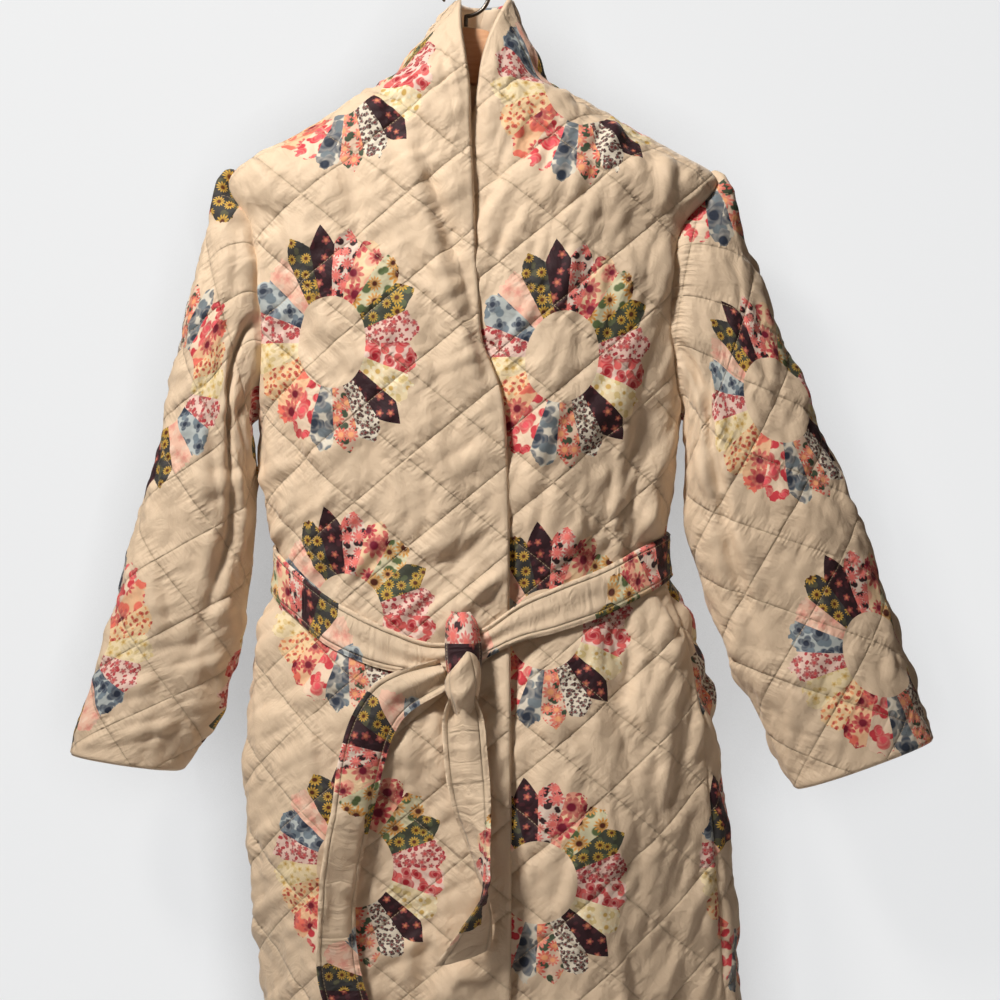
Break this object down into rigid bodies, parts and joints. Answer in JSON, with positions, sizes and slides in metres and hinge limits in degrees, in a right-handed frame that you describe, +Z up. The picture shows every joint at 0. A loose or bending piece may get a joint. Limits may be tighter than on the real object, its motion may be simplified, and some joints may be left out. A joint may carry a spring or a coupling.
{
  "type": "quilted coat on a wooden hanger",
  "caption": "Padded wrap coat in diamond-quilted printed cotton with a standing shawl collar, set-in sleeves and a tied belt, hanging on a wooden hanger with a steel hook",
  "frame": {"origin": "inside top of the hanger's hook, where the rail carries it", "axes": "+X to the wearer's left, -Y to the coat's front, +Z up"},
  "size_m": [0.819, 0.2189, 1.1821],
  "materials": {
    "quilted_cotton": "cream printed cotton over wadding, stitched in diamonds",
    "belt_cotton": "cream printed cotton, lightly padded, edge stitched",
    "hanger_beech": "satin varnish",
    "hook_steel": "dull dark steel wire"
  },
  "bodies": {
    "root": {"front_right": "quilted_cotton", "front_left": "quilted_cotton", "back": "quilted_cotton", "sleeve_right": "quilted_cotton", "sleeve_left": "quilted_cotton", "belt_waist": "belt_cotton", "belt_knot": "belt_cotton", "belt_tail_right": "belt_cotton", "belt_tail_left": "belt_cotton", "hanger_wood": "hanger_beech", "hanger_hook": "hook_steel"}
  },
  "joints": []
}
